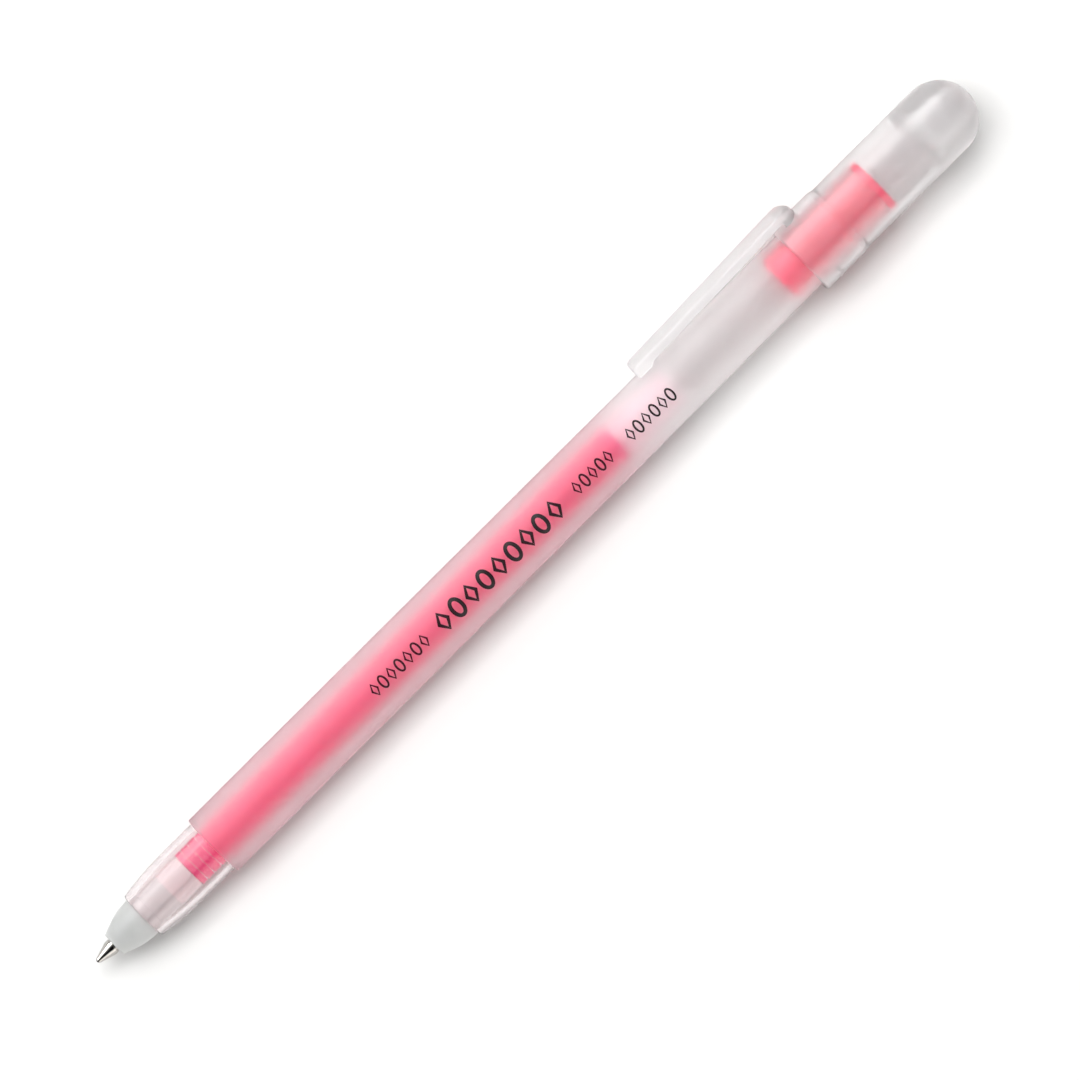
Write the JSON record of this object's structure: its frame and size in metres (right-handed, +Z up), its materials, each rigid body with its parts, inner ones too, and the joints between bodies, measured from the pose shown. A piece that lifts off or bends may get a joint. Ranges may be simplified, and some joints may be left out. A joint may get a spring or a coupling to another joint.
{
  "type": "gel pen",
  "caption": "Capped gel ink pen with a frosted barrel and a clear domed cap with a clip, posted on its tail.",
  "frame": {"origin": "under the middle of the posted pen, on the surface that it lies on", "axes": "+X along the pen from the ball towards the cap, +Y towards the clip's side, +Z up from the surface"},
  "size_m": [0.1568, 0.0124, 0.0106],
  "materials": {
    "frosted_plastic": "translucent moulding with a fine frosted face and a glossy clear neck",
    "clear_plastic": "clear moulding, very slightly hazy",
    "coral_plastic": "translucent coral moulding",
    "white_plastic": "milky semi-matt moulding",
    "tip_steel": "turned and polished metal",
    "ball_carbide": "polished hard metal",
    "tube_plastic": "thin clear extruded tube",
    "gel_ink": "opaque pink gel",
    "grease": "pale translucent grease"
  },
  "bodies": {
    "barrel": {"barrel": "frosted_plastic", "tail_plug": "coral_plastic"},
    "refill": {"tip_holder": "white_plastic", "tip_point": "tip_steel", "ink_tube": "tube_plastic", "ink": "gel_ink"},
    "ball": {"ball": "ball_carbide"},
    "follower": {"follower": "grease"},
    "cap": {"cap": "clear_plastic"},
    "clip": {"clip": "clear_plastic"}
  },
  "joints": [
    {"name": "cap_slide", "type": "slide", "parent": "barrel", "child": "cap", "axis": [1, 0, 0], "range_m": [0, 0.04]},
    {"name": "clip_flex", "type": "hinge", "parent": "cap", "child": "clip", "pos_m": [0.05, 0.00493, 0.00724], "axis": [0, 0.3173, -0.9483], "range_deg": [0, 5], "stiffness_Nm_per_rad": 0.8},
    {"name": "refill_slide", "type": "slide", "parent": "barrel", "child": "refill", "axis": [-1, 0, 0], "range_m": [0, 0.098]},
    {"name": "ball_roll", "type": "hinge", "parent": "refill", "child": "ball", "pos_m": [-0.07805, -0.00091, 0.00529], "axis": [0, 1, 0], "continuous": true},
    {"name": "follower_travel", "type": "slide", "parent": "refill", "child": "follower", "axis": [-1, 0, 0], "range_m": [0, 0.072], "deforming": ["ink"]}
  ]
}
